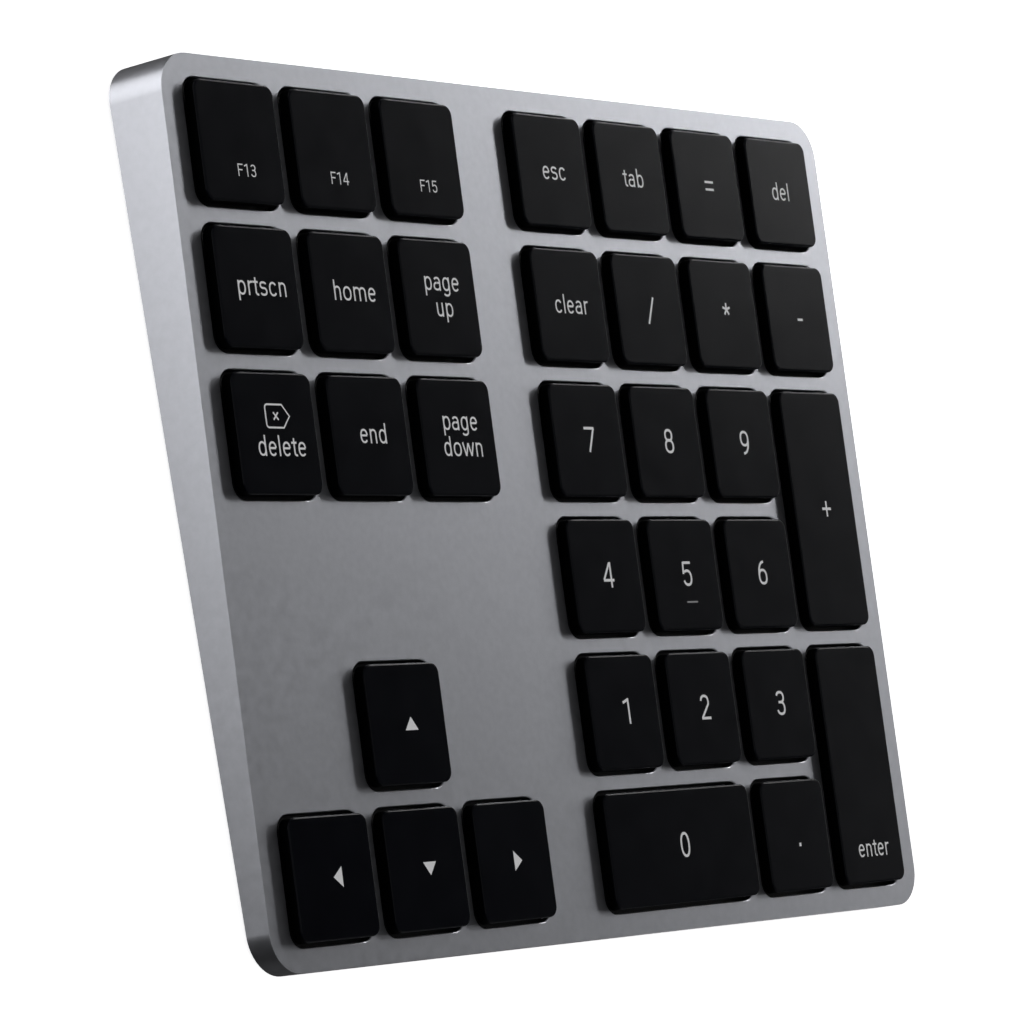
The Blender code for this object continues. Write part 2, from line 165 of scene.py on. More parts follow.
# ---- sockets and switch at the back ----
MOUTH = (0.3, 0.15)         # widening at the mouth of a slot: across, and along
PORT_WALL = 0.3
PORT_LIP = 0.1
PORT_FLARE = 1.5            # how much narrower the mouth is than the shell, in lips
FLARE_DEPTH = 0.2
PORT_BACK = 0.85            # thickness of the socket's back
TONGUE_H = 0.7
TONGUE_ROOT = 0.1           # how deep the tongue stands in the socket's back
TONGUE_R = 0.12
TONGUE_SIDE = 1.12          # from the shell's side to the tongue's
TONGUE_TIP = 1.05           # from the shell's mouth to the tongue's tip
TONGUE_TAPER = (0.3, 0.2, 0.15)     # at the tip: in width, in height, and its length
CONTACTS = 12
CONTACT_PITCH = 0.5
CONTACT_HALF = (0.13, 0.02)     # half the width, half the thickness
CONTACT_SPAN = (3.2, 0.4)       # from the tongue's tip to each end
CONTACT_LIFT = 0.005
RIDGES = 6
RIDGE = 0.22
RIDGE_TURNS = (0.25, 0.55, 0.8)     # shares of a ridge's pitch at which its outline turns

# ---- legends ----
PRINT_T = 0.015
PRINT_SINK = 0.003      # how deep the print stands in the keycap
WORD_EM = 3.62
FIGURE_EM = 5.0
F_KEY_EM = 2.33
STROKE = 0.075          # stroke width, as a share of the em
CLOSED = 1e-6           # a stroke whose ends are nearer than this is a loop
BEND = 2.3              # squareness of the round letters, 2 being an ellipse
FIGURE_MIDDLE = 0.355   # height of a figure's middle, in ems
FIGURE_PLACE = (0.3, 0.1)       # from the keycap's middle, as are the places below
F_KEY_PLACE = (0.57, -4.52)
STAR_ARMS = 5
ARROW = ((0.88, 0), (-0.88, 1.35), (-0.88, -1.35))
ARROW_X = 0.60
TAG_HALF = (2.37, 1.5)      # of the delete key's mark
TAG_POINT = 1.35
TAG_R = 0.45
TAG_STROKE = 0.24
TAG_TURN = 30           # degrees
TAG_CROSS = 0.48        # half the width of the cross in it
TAG_CROSS_X = 0.35
HOMING_BAR = (2.65, 0.26, 0.12)     # length, width and corner radius
HOMING_PLACE = (0.64, -3.95)
HOMING_RINGS = ((-PRINT_SINK, 0.0), (0.07, 0.01), (0.11, 0.04), (0.13, 0.08))   # rise and inset
HOMING_ROUND = 0.9      # how much of an inset the corner radius loses
PRINT_WELD = 1e-4       # points of a legend nearer than this are one
PRINT_FLAT = 0.5        # degrees; faces that turn less than this are joined


# ---- the deck's frame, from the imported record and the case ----
def joint(name):
    return next(j for j in frame["joints"] if j["name"] == name)


def deck_matrix():
    """Turns deck millimetres into the row frame's metres."""
    up = -Vector(joint("press_five")["axis"])
    turn = Vector((0, 0, 1)).rotation_difference(up).to_matrix()
    points = [turn.transposed() @ v.co for v in frame["nodes"]["top_case"].data.vertices]
    front = min(p.y for p in points)
    back = max(p.y for p in points)
    top = max(p.z for p in points)
    origin = turn @ Vector((0, (front + back) / 2, top))
    return Matrix.Translation(origin) @ turn.to_4x4() @ Matrix.Scale(MM, 4)


DECK = deck_matrix()
DECK_Y = DECK.to_3x3() @ Vector((0, 1, 0))
DECK_UP = (DECK.to_3x3() @ Vector((0, 0, 1))).normalized()
TILT = math.atan2(DECK_Y.z, DECK_Y.y)


def deck_points(node):
    """A CAD node's points in the deck's frame, in millimetres."""
    back = DECK.inverted()
    return [back @ v.co for v in frame["nodes"][node].data.vertices]


def deck_box(node):
    """A CAD node's lowest and highest corners in the deck's frame, in millimetres."""
    points = deck_points(node)
    low = Vector([min(p[k] for p in points) for k in range(3)])
    high = Vector([max(p[k] for p in points) for k in range(3)])
    return low, high


def middle(node):
    low, high = deck_box(node)
    return (low + high) / 2


def key_place(key):
    """The middle of a keycap, in X and Y."""
    return middle(f"key_{key}").to_2d()


CASE_LOW, CASE_HIGH = deck_box("top_case")
CASE_W = CASE_HIGH.x - CASE_LOW.x
CASE_D = CASE_HIGH.y - CASE_LOW.y
KEYS = sorted(n[4:] for n in frame["nodes"] if n.startswith("key_"))
SCREWS = sorted(n for n in frame["nodes"] if n.startswith("cover_screw_"))
FEET = sorted(n for n in frame["nodes"] if n.startswith("foot_"))
SCREW_PLACES = [middle(n).to_2d() for n in SCREWS]
FOOT_PLACES = [middle(n).to_2d() for n in FEET]


def underside_z(y):
    """Height of the level underside in the deck's frame."""
    return CASE_LOW.z + (CASE_HIGH.y - y) * math.tan(TILT)


def above_underside(rise):
    """Height over the underside, as a function of Y."""
    return lambda y: underside_z(y) + rise / math.cos(TILT)


BELOW = above_underside(-PAST)


def lowest_rise(node):
    """A CAD node's lowest point over the underside, in millimetres, measured square to it."""
    return min((p.z - underside_z(p.y)) * math.cos(TILT) for p in deck_points(node))


# ---- outlines ----
def rounded_outline(width, depth, radius, steps=CORNER_STEPS):
    """Points of a rounded rectangle round the origin, anticlockwise."""
    points = []
    for turn in range(4):
        corner_x = (width / 2 - radius) * (1 if turn in (0, 3) else -1)
        corner_y = (depth / 2 - radius) * (1 if turn in (0, 1) else -1)
        for step in range(steps + 1):
            angle = math.radians(90) * (turn + step / steps)
            point = (corner_x + radius * math.cos(angle), corner_y + radius * math.sin(angle))
            if not points or min(math.dist(point, points[0]), math.dist(point, points[-1])) > WELD:
                points.append(point)
    return points


def roll(radius):
    """The (inset, rise) steps of a rounding from a wall, inset 0, to a flat top, rise 0."""
    turns = [math.radians(90) * step / ROLL_STEPS for step in range(ROLL_STEPS + 1)]
    return [(radius * (1 - math.cos(a)), radius * (math.sin(a) - 1)) for a in turns]


def circle(radius, steps, x, y):
    turns = [2 * math.pi * i / steps for i in range(steps)]
    return [(x + radius * math.cos(a), y + radius * math.sin(a)) for a in turns]


def shifted(outline, x, y):
    return [(px + x, py + y) for px, py in outline]


def rectangle(x, y):
    return [(x[0], y[0]), (x[1], y[0]), (x[1], y[1]), (x[0], y[1])]


# ---- solids, in deck millimetres ----
def ring(bm, outline, z):
    """A loop of vertices over an outline, at one height or at one given by Y."""
    heights = [z(y) if callable(z) else z for _, y in outline]
    return [bm.verts.new((x, y, h)) for (x, y), h in zip(outline, heights)]


def bridge(bm, lower, upper):
    count = len(lower)
    for i in range(count):
        j = (i + 1) % count
        bm.faces.new((lower[i], lower[j], upper[j], upper[i]))


def stack(rings):
    """A closed solid through (outline, z) rings.

    The rings run upwards, or for a hollow piece down its inside and then up its outside.
    """
    bm = bmesh.new()
    loops = [ring(bm, outline, z) for outline, z in rings]
    for lower, upper in zip(loops, loops[1:]):
        bridge(bm, lower, upper)
    bm.faces.new(loops[-1])
    bm.faces.new(list(reversed(loops[0])))
    return bm


def prism(outline, bottom, top):
    return stack([(outline, bottom), (outline, top)])


def upright(outlines, x, z):
    """A solid through (outline in X and Z, Y) pairs, nearest the user first."""
    bm = stack([(outline, -y) for outline, y in reversed(outlines)])
    turn = Matrix.Translation((x, 0, z)) @ Matrix.Rotation(math.radians(90), 4, "X")
    bmesh.ops.transform(bm, matrix=turn, verts=bm.verts)
    return bm


def merged(solids):
    whole = bmesh.new()
    for solid in solids:
        mesh = bpy.data.meshes.new("solid")
        solid.to_mesh(mesh)
        solid.free()
        whole.from_mesh(mesh)
        bpy.data.meshes.remove(mesh)
    return whole


def moved(bm, x, y):
    bmesh.ops.translate(bm, vec=(x, y, 0), verts=bm.verts)
    return bm


# ---- pieces ----
def smooth(mesh, sharp):
    mesh.shade_smooth()
    mesh.set_sharp_from_angle(angle=math.radians(sharp))


def put(name, data):
    """A new object in the scene, round some data."""
    made = bpy.data.objects.new(name, data)
    bpy.context.scene.collection.objects.link(made)
    return made


def add_object(name, bm, sharp=SHARP):
    """A mesh object from a mesh in deck millimetres, shaded smooth apart from its sharp edges."""
    mesh = bpy.data.meshes.new(name)
    bm.normal_update()
    bm.to_mesh(mesh)
    bm.free()
    mesh.transform(DECK)
    smooth(mesh, sharp)
    return put(name, mesh)


def applied(piece):
    """The piece's mesh with its modifier worked into it."""
    done = bpy.data.meshes.new_from_object(piece.evaluated_get(bpy.context.evaluated_depsgraph_get()))
    piece.modifiers.clear()
    return done


def combine(target, bm, operation="DIFFERENCE"):
    """Cuts a solid from a piece, or joins it on, and keeps the result as its mesh."""
    cutter = add_object("cutter", bm)
    step = target.modifiers.new("step", "BOOLEAN")
    step.operation = operation
    step.solver = "EXACT"
    step.object = cutter
    target.data = applied(target)
    clean(target)
    smooth(target.data, SHARP)
    bpy.data.objects.remove(cutter)


def clean(piece):
    """Welds the points the cuts have left almost on top of each other."""
    bm = bmesh.new()
    bm.from_mesh(piece.data)
    bmesh.ops.remove_doubles(bm, verts=bm.verts, dist=WELD * MM)
    bmesh.ops.dissolve_degenerate(bm, edges=bm.edges, dist=WELD * MM)
    bm.to_mesh(piece.data)
    bm.free()


def settle_normals(piece):
    """Keeps flat faces flat in the shading, whatever small roundings meet them."""
    step = piece.modifiers.new("normals", "WEIGHTED_NORMAL")
    step.keep_sharp = True
    step.weight = NORMAL_WEIGHT
    done = applied(piece)
    normals = [Vector(n.vector) for n in done.corner_normals]
    for face in done.polygons:
        if face.area > FLAT_AREA or abs(face.normal.dot(DECK_UP)) > FLAT_COSINE:
            face.use_smooth = False
            for corner in face.loop_indices:
                normals[corner] = face.normal.copy()
    done.normals_split_custom_set(normals)
    piece.data = done


def finish_piece(piece, body, material, replaces=()):
    """Settles a piece's normals, gives it its material and body, and hides the CAD nodes it stands in
    for.
    """
    settle_normals(piece)
    piece.data.materials.clear()
    piece.data.materials.append(material)
    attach(piece, body)
    if replaces:
        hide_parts(*replaces)


# ---- materials ----
def new_material(name, colour, roughness, metallic, specular):
    material = bpy.data.materials.new(name)
    material.use_nodes = True
    shader = material.node_tree.nodes["Principled BSDF"]
    shader.inputs["Base Color"].default_value = (*colour, 1)
    shader.inputs["Roughness"].default_value = roughness
    shader.inputs["Metallic"].default_value = metallic
    shader.inputs["Specular IOR Level"].default_value = specular
    return material


def add_noise(material, size, stretch=(1, 1, 1)):
    """A noise whose features are about size millimetres across."""
    nodes = material.node_tree.nodes
    links = material.node_tree.links
    place = nodes.new("ShaderNodeTexCoord")
    scale = nodes.new("ShaderNodeMapping")
    scale.inputs["Scale"].default_value = stretch
    noise = nodes.new("ShaderNodeTexNoise")
    noise.inputs["Scale"].default_value = 1 / (size * MM)
    noise.inputs["Detail"].default_value = NOISE_DETAIL
    links.new(place.outputs["Object"], scale.inputs["Vector"])
    links.new(scale.outputs["Vector"], noise.inputs["Vector"])
    return noise.outputs["Fac"]


def vary_colour(material, pattern, dark, light):
    """Runs the base colour between two shades along a pattern."""
    nodes = material.node_tree.nodes
    links = material.node_tree.links
    ramp = nodes.new("ShaderNodeValToRGB")
    ramp.color_ramp.elements[0].position = NOISE_SPAN[0]
    ramp.color_ramp.elements[0].color = (*dark, 1)
    ramp.color_ramp.elements[1].position = NOISE_SPAN[1]
    ramp.color_ramp.elements[1].color = (*light, 1)
    links.new(pattern, ramp.inputs["Fac"])
    links.new(ramp.outputs["Color"], nodes["Principled BSDF"].inputs["Base Color"])


def vary_roughness(material, pattern, low, high):
    """Runs the roughness between two values along a pattern."""
    nodes = material.node_tree.nodes
    links = material.node_tree.links
    spread = nodes.new("ShaderNodeMapRange")
    spread.inputs["From Min"].default_value = NOISE_SPAN[0]
    spread.inputs["From Max"].default_value = NOISE_SPAN[1]
    spread.inputs["To Min"].default_value = low
    spread.inputs["To Max"].default_value = high
    links.new(pattern, spread.inputs["Value"])
    links.new(spread.outputs["Result"], nodes["Principled BSDF"].inputs["Roughness"])


def add_bump(material, pattern, depth):
    """Bumps depth millimetres deep along a pattern."""
    nodes = material.node_tree.nodes
    links = material.node_tree.links
    bump = nodes.new("ShaderNodeBump")
    bump.inputs["Strength"].default_value = 1.0
    bump.inputs["Distance"].default_value = depth * MM
    links.new(pattern, bump.inputs["Height"])
    links.new(bump.outputs["Normal"], nodes["Principled BSDF"].inputs["Normal"])


def shade(colour, share):
    """A colour made lighter or darker by a share."""
    return tuple(min(1.0, c * share) for c in colour)


def grainy(name, colour, roughness, metallic, grain, depth, mottle, spread,
           specular=0.5, stretch=(1, 1, 1)):
    """A finish with a fine grain in its surface and a slow drift in its colour and gloss.

    The grain's size and depth and the mottle's size are in millimetres, and spread is the share by
    which the colour drifts.
    """
    material = new_material(name, colour, roughness, metallic, specular)
    fine = add_noise(material, grain, stretch)
    slow = add_noise(material, mottle)
    vary_colour(material, slow, shade(colour, 1 - spread), shade(colour, 1 + spread))
    vary_roughness(material, slow, roughness * (1 - GLOSS_SPREAD), roughness * (1 + GLOSS_SPREAD))
    add_bump(material, fine, depth)
    return material


ANODISED = grainy("anodised_aluminium", (0.413, 0.420, 0.452), 0.33, 1.0, 0.20, 0.0035, 1.2, 0.035)
# Near-black painted shade for the case's inside and the sides of the key windows
SHADE_BLACK = grainy("painted_shade_inside", (0.012, 0.012, 0.013), 0.6, 0.0, 0.3, 0.01, 3.0, 0.1, 0.1)
COVER = grainy("anodised_cover", (0.33, 0.335, 0.36), 0.42, 1.0, 0.20, 0.005, 2.0, 0.04)
KEYCAP = grainy("keycap_plastic", (0.0007, 0.0010, 0.0026), 0.205, 0.0, 0.14, 0.0012, 4.0, 0.1, 0.072)
# The keycaps' sides: duller than the top, and painted darker as the shade they stand in
CAP_SIDE_SHADE = grainy("keycap_sides_shade", (0.0004, 0.0005, 0.0007), 0.5, 0.0, 0.14, 0.002, 4.0, 0.1, 0.012)
PRINT = grainy("legend_print", (0.86, 0.86, 0.87), 0.55, 0.0, 0.10, 0.002, 1.0, 0.02, 0.3)
GREY_PRINT = grainy("bar_print", (0.30, 0.30, 0.31), 0.5, 0.0, 0.10, 0.002, 1.0, 0.02, 0.3)
RUBBER = grainy("foot_rubber", (0.022, 0.022, 0.024), 0.78, 0.0, 0.25, 0.02, 3.0, 0.15, 0.3)
STEEL = grainy("plated_steel", (0.60, 0.60, 0.61), 0.30, 1.0, 0.10, 0.002, 2.0, 0.05)
GOLD = grainy("gold_contacts", (0.86, 0.62, 0.27), 0.25, 1.0, 0.08, 0.002, 1.0, 0.05)
SILICONE = grainy("milky_silicone", (0.72, 0.73, 0.75), 0.55, 0.0, 0.30, 0.004, 3.0, 0.03)
FILM = grainy("printed_film", (0.42, 0.46, 0.44), 0.35, 0.0, 0.50, 0.002, 4.0, 0.08)
WHITE_PLASTIC = grainy("moulded_white", (0.78, 0.77, 0.73), 0.45, 0.0, 0.20, 0.003, 2.0, 0.03)
BLACK_PLASTIC = grainy("moulded_black", (0.018, 0.018, 0.020), 0.48, 0.0, 0.20, 0.006, 2.0, 0.12)
BLACK_FILM = grainy("carbon_film", (0.012, 0.012, 0.013), 0.5, 0.0, 0.20, 0.003, 2.0, 0.12, 0.2)
BOARD = grainy("solder_mask", (0.010, 0.075, 0.035), 0.38, 0.0, 0.30, 0.006, 1.5, 0.25)
POUCH = grainy("pouch_foil", (0.58, 0.60, 0.63), 0.36, 0.85, 1.80, 0.02, 5.0, 0.05)
LEAD = grainy("lead_jacket", (0.42, 0.03, 0.025), 0.45, 0.0, 0.25, 0.004, 2.0, 0.08)
PLATE = grainy("brushed_plate", (0.50, 0.50, 0.51), 0.36, 1.0, 0.06, 0.002, 4.0, 0.06, 0.5, (0.04, 1, 1))

# The finish of each CAD node that no piece replaces
NODE_MATERIALS = {
    "switch_plate": PLATE, "membrane": FILM, "circuit_board": BOARD, "controller_chip": BLACK_PLASTIC,
    "power_switch_body": BLACK_PLASTIC, "battery": POUCH, "battery_lead": LEAD,
    "battery_socket": WHITE_PLASTIC, "flat_cable": FILM, "flat_cable_socket": WHITE_PLASTIC,
    "stabiliser_zero": STEEL, "stabiliser_plus": STEEL, "stabiliser_enter": STEEL,
}


def paint_nodes():
    """Gives each CAD node that stays its own finish."""
    for name, material in NODE_MATERIALS.items():
        for slot in frame["nodes"][name].material_slots:
            slot.material = material


# ---- case ----
def well_cutters():
    """One cutter for each key's window, which rounds the deck's edge over into it."""
    cutters = []
    for key in KEYS:
        low, high = deck_box(f"key_{key}")
        width = high.x - low.x + 2 * WELL_GAP
        depth = high.y - low.y + 2 * WELL_GAP
        x, y = key_place(key)
        straight = shifted(rounded_outline(width, depth, WELL_R), x, y)
        rings = [(straight, -DECK_T - PAST)]
        for out, rise in roll(WELL_EDGE):
            outline = rounded_outline(width + 2 * out, depth + 2 * out, WELL_R + out)
            rings.append((shifted(outline, x, y), rise + CROSSING))
        rings.append((shifted(outline, x, y), PAST))
        cutters.append(stack(rings))
    return cutters


def capsule(width, height):
    """An outline with round ends."""
    return rounded_outline(width, height, height / 2, SLOT_STEPS)


def back_openings():
    """Cutters for the socket's and the switch's slots in the back wall."""
    through = (CASE_HIGH.y - WALL_T - PAST, CASE_HIGH.y + PAST)
    face_y = CASE_HIGH.y + CROSSING
    across, along = MOUTH
    cutters = []
    low, high = deck_box("usb_c_port")
    spots = [((low + high) / 2, high.x - low.x + 2 * GAP, high.z - low.z + 2 * GAP)]
    low, high = deck_box("power_switch_slider")
    travel = joint("power_switch_slide")["range_m"][1] / MM
    centre = (low + high) / 2 + Vector((travel / 2, 0, 0))
    spots.append((centre, high.x - low.x + travel + 4 * GAP, high.z - low.z + 2 * GAP))
    for at, width, height in spots:
        hole = capsule(width, height)
        mouth = capsule(width + across, height + across)
        rings = [(hole, through[0]), (hole, face_y - along), (mouth, face_y), (mouth, through[1])]
        cutters.append(upright(rings, at.x, at.z))
    return cutters


def make_case():
    """The aluminium shell: the wedge, hollowed, with key windows, screw posts and back openings."""
    sole = rounded_outline(CASE_W - CASE_EDGE, CASE_D - CASE_EDGE, CORNER_R - CASE_EDGE / 2)
    rings = [(sole, underside_z)]
    rings.append((rounded_outline(CASE_W, CASE_D, CORNER_R), above_underside(CASE_EDGE / 2)))
    for inset, rise in roll(CASE_EDGE):
        outline = rounded_outline(CASE_W - 2 * inset, CASE_D - 2 * inset, CORNER_R - inset)
        rings.append((outline, rise))
    case = add_object("aluminium_case", stack(rings))
    inner = rounded_outline(CASE_W - 2 * WALL_T, CASE_D - 2 * WALL_T, CORNER_R - WALL_T)
    combine(case, prism(inner, BELOW, -DECK_T))
    combine(case, merged(well_cutters()))
    foot = above_underside(COVER_T + GAP)
    posts = [prism(circle(POST_R, POST_STEPS, *at), foot, -DECK_T / 2) for at in SCREW_PLACES]
    combine(case, merged(posts), "UNION")
    holes = []
    for at in SCREW_PLACES:
        holes.append(prism(circle(POST_HOLE_R, HOLE_STEPS, *at), underside_z(at.y), -DECK_T - GAP))
    combine(case, merged(holes))
    combine(case, merged(back_openings()))
    finish_piece(case, "case", ANODISED, ["top_case"])
    # The case's inside and the key windows' sides get a painted black shade
    paint_inside_shade(case)


def depth_inside(x, y):
    """How far a point is inside the case's outline."""
    dx = abs(x) - CASE_W / 2 + CORNER_R
    dy = abs(y) - CASE_D / 2 + CORNER_R
    if dx > 0 and dy > 0:
        return CORNER_R - math.hypot(dx, dy)
    return CORNER_R - max(dx, dy)


def paint_inside_shade(case):
    """The inside of the case, and the sides of the key windows, are painted black as the shade that falls
    there.
    """
    case.data.materials.append(SHADE_BLACK)
    back = DECK.inverted()
    for face in case.data.polygons:
        at = back @ face.center
        inside = depth_inside(at.x, at.y) > WALL_T / 2
        rim = at.z < underside_z(at.y) + RIM
        if at.z < -WELL_EDGE * WELL_SHADE and inside and not rim:
            face.material_index = 1


def make_cover():
    """The plate that closes the case below, with sunk screw holes and pockets for the feet."""
    inset = WALL_T + GAP
    outline = rounded_outline(CASE_W - 2 * inset, CASE_D - 2 * inset, CORNER_R - inset)
    cover = add_object("bottom_plate", prism(outline, underside_z, above_underside(COVER_T)))
    through = above_underside(COVER_T + PAST)
    holes = [prism(circle(POST_HOLE_R, HOLE_STEPS, *at), BELOW, through) for at in SCREW_PLACES]
    combine(cover, merged(holes))
    head = above_underside(SINK_DEPTH)
    sinks = [prism(circle(SINK_R, SCREW_STEPS, *at), BELOW, head) for at in SCREW_PLACES]
    foot_low, foot_high = deck_box(FEET[0])
    pocket = (foot_high.x - foot_low.x) / 2 + GAP
    seat = above_underside(FOOT_POCKET)
    pockets = [prism(circle(pocket, FOOT_STEPS, *at), BELOW, seat) for at in FOOT_PLACES]
    combine(cover, merged(sinks + pockets))
    finish_piece(cover, "case", COVER, ["bottom_cover"])


def make_feet():
    """Turned rubber feet with a rounded lip and a shallow dimple in the sole."""
    low, high = deck_box(FEET[0])
    radius = (high.x - low.x) / 2
    sole = lowest_rise(FEET[0]) + SOLE_LIFT
    profile = [(radius * DIMPLE[0], sole + DIMPLE_DEPTH), (radius * DIMPLE[1], sole)]
    profile += [(radius - inset, sole + rise) for inset, rise in FOOT_LIP]
    profile.append((radius, FOOT_POCKET - THIN_GAP))
    for name, at in zip(FEET, FOOT_PLACES):
        rings = [(circle(r, FOOT_STEPS, *at), above_underside(rise)) for r, rise in profile]
        foot = add_object(f"rubber_{name}", stack(rings), TURNED_SHARP)
        finish_piece(foot, "case", RUBBER, [name])


def make_screws():
    """Flat-headed screws with a hexagonal drive."""
    for name, at in zip(SCREWS, SCREW_PLACES):
        tip = deck_box(name)[1].z
        profile = (
            (HEAD_R - HEAD_BEVEL, above_underside(HEAD_LOW)), (HEAD_R, above_underside(HEAD_WIDE)),
            (HEAD_R, above_underside(HEAD_HIGH)), (SHANK_R, above_underside(HEAD_HIGH)),
            (SHANK_R, tip - TIP_LENGTH), (SHANK_R * TIP_SHARE, tip),
        )
        rings = [(circle(r, SCREW_STEPS, *at), z) for r, z in profile]
        screw = add_object(f"screw_{name[-1]}", stack(rings))
        drive = circle(DRIVE_R, DRIVE_SIDES, *at)
        combine(screw, prism(drive, BELOW, above_underside(HEAD_LOW + DRIVE_DEPTH)))
        finish_piece(screw, "case", STEEL, [name])


# ---- keycaps ----
def cap_top(key):
    """Height of a keycap's top, a hair under the CAD's because its edge is rounded less."""
    return deck_box(f"key_{key}")[1].z - CAP_SINK


def make_cap(key):
    """A shallow cap with a rounded top edge and softened rim, open below."""
    low, high = deck_box(f"key_{key}")
    high.z = cap_top(key)
    w = high.x - low.x
    d = high.y - low.y
    x, y = key_place(key)
    roof = high.z - CAP_ROOF
    inner_w = w - 2 * CAP_SKIRT
    inner_d = d - 2 * CAP_SKIRT
    inner_r = CAP_R - CAP_SKIRT
    across, down = CAP_FILLET
    loops = [
        (inner_w - across, inner_d - across, inner_r, roof),
        (inner_w, inner_d, inner_r, roof - down),
        (inner_w, inner_d, inner_r, low.z),
        (w - 2 * CAP_RIM, d - 2 * CAP_RIM, CAP_R - CAP_RIM, low.z),
        (w, d, CAP_R, low.z + CAP_RIM),
    ]
    for step in range(CAP_ROLL_STEPS + 1):
        angle = math.radians(90 / CAP_ROLL_STEPS * step)
        inset = CAP_EDGE * (1 - math.cos(angle))
        height = high.z - CAP_EDGE * (1 - math.sin(angle))
        loops.append((w - 2 * inset, d - 2 * inset, CAP_R - inset, height))
    rings = [(shifted(rounded_outline(a, b, r, CAP_STEPS), x, y), z) for a, b, r, z in loops]
    cap = add_object(f"cap_{key}", stack(rings), TURNED_SHARP)
    finish_piece(cap, f"key_{key}", KEYCAP, [f"key_{key}"])
    # The sides and the inside are duller than the top and its rounded edge, and painted darker as shade
    cap.data.materials.append(CAP_SIDE_SHADE)
    back = DECK.inverted()
    for face in cap.data.polygons:
        if (back @ face.center).z < high.z - CAP_EDGE:
            face.material_index = 1


# ---- under the keys ----
def make_film():
    """The film that carries the domes, with room for the screw posts."""
    low, high = deck_box("dome_sheet")
    outline = rounded_outline(high.x - low.x, high.y - low.y, CORNER_R - WALL_T)
    film = add_object("dome_film", prism(outline, *FILM_Z))
    posts = [prism(circle(POST_R + 2 * GAP, POST_STEPS, *at), *FILM_CUT) for at in SCREW_PLACES]
    combine(film, merged(posts))
    finish_piece(film, "case", BLACK_FILM, ["dome_sheet"])


def make_dome(key):
    """A silicone dome on the film under its key."""
    x, y = key_place(key)
    rings = [(circle(radius, DOME_STEPS, x, y), z + DOME_LIFT) for radius, z in DOME_PROFILE]
    dome = add_object(f"dome_{key}", stack(rings), DOME_SHARP)
    finish_piece(dome, "case", SILICONE)
    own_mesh(dome)


def link_frame(size, slope):
    """One tilted frame of a scissor pair. Slope is 1 or -1."""
    width, side = size
    outer_r, inner_r = LINK_CORNERS
    outer = rounded_outline(width, 2 * LINK_HALF, outer_r, SMALL_STEPS)
    inner = rounded_outline(width - 2 * side, 2 * LINK_HALF - 2 * side, inner_r, SMALL_STEPS)
    bm = bmesh.new()
    loops = [ring(bm, inner, 0.0), ring(bm, outer, 0.0), ring(bm, outer, LINK_T), ring(bm, inner, LINK_T)]
    for lower, upper in zip(loops, loops[1:] + loops[:1]):
        bridge(bm, lower, upper)
    rise = (LINK_HIGH - LINK_T - LINK_LOW) / (2 * LINK_HALF)
    centre = (LINK_HIGH - LINK_T + LINK_LOW) / 2
    for v in bm.verts:
        v.co.z += centre + slope * rise * v.co.y
    return bm


def make_links(key):
    """The scissor pair that keeps a key level."""
    x, y = key_place(key)
    pair = merged([link_frame(OUTER_LINK, 1), link_frame(INNER_LINK, -1)])
    links = add_object(f"scissor_{key}", moved(pair, x, y))
    finish_piece(links, "case", WHITE_PLASTIC)
    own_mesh(links)


# ---- socket and switch in the back wall ----
def make_port():
    """A USB-C socket: a steel shell with a tongue that carries gold contacts."""
    low, high = deck_box("usb_c_port")
    centre = (low + high) / 2
    w = high.x - low.x
    h = high.z - low.z
    outer = capsule(w, h)
    lip = capsule(w - PORT_LIP, h - PORT_LIP)
    rings = [(outer, low.y), (outer, high.y - PORT_LIP), (lip, high.y)]
    shell = add_object("port_shell", upright(rings, centre.x, centre.z))
    mouth = capsule(w - 2 * PORT_WALL, h - 2 * PORT_WALL)
    flare = capsule(w - PORT_LIP * PORT_FLARE, h - PORT_LIP * PORT_FLARE)
    floor_y = low.y + PORT_BACK
    rings = [(mouth, floor_y), (mouth, high.y - FLARE_DEPTH), (flare, high.y), (flare, high.y + PAST)]
    combine(shell, upright(rings, centre.x, centre.z))
    finish_piece(shell, "case", STEEL, ["usb_c_port"])
    tongue_w = 2 * (w / 2 - TONGUE_SIDE)
    tip = high.y - TONGUE_TIP
    taper_w, taper_h, taper_y = TONGUE_TAPER
    whole = rounded_outline(tongue_w, TONGUE_H, TONGUE_R, SMALL_STEPS)
    end = rounded_outline(tongue_w - taper_w, TONGUE_H - taper_h, TONGUE_R, SMALL_STEPS)
    rings = [(whole, floor_y - TONGUE_ROOT), (whole, tip - taper_y), (end, tip)]
    tongue = add_object("port_tongue", upright(rings, centre.x, centre.z))
    finish_piece(tongue, "case", BLACK_PLASTIC)
    half_w, half_t = CONTACT_HALF
    span = (tip - CONTACT_SPAN[0], tip - CONTACT_SPAN[1])
    pads = []
    for i in range(CONTACTS):
        at = centre.x + (i - (CONTACTS - 1) / 2) * CONTACT_PITCH
        for side in (-1, 1):
            z = centre.z + side * (TONGUE_H / 2 + CONTACT_LIFT)
            pads.append(prism(rectangle((at - half_w, at + half_w), span), z - half_t, z + half_t))
    contacts = add_object("port_contacts", merged(pads))
    finish_piece(contacts, "case", GOLD)


def make_slider():
    """The power switch's ridged slider."""
    name = "power_switch_slider"
    low, high = deck_box(name)
    pitch = (high.x - low.x) / RIDGES
    up, over, down = RIDGE_TURNS
    outline = [(low.x, low.y), (high.x, low.y)]
    for step in range(RIDGES):
        right = high.x - step * pitch
        outline += [(right, high.y - RIDGE), (right - pitch * up, high.y)]
        outline += [(right - pitch * over, high.y), (right - pitch * down, high.y - RIDGE)]
    outline.append((low.x, high.y - RIDGE))
    slider = add_object("switch_slider", prism(outline, low.z, high.z))
    finish_piece(slider, "power_switch", BLACK_PLASTIC, [name])


# ---- legends ----
def line(*points):
    """A straight stroke, or one with corners."""
    return list(points)


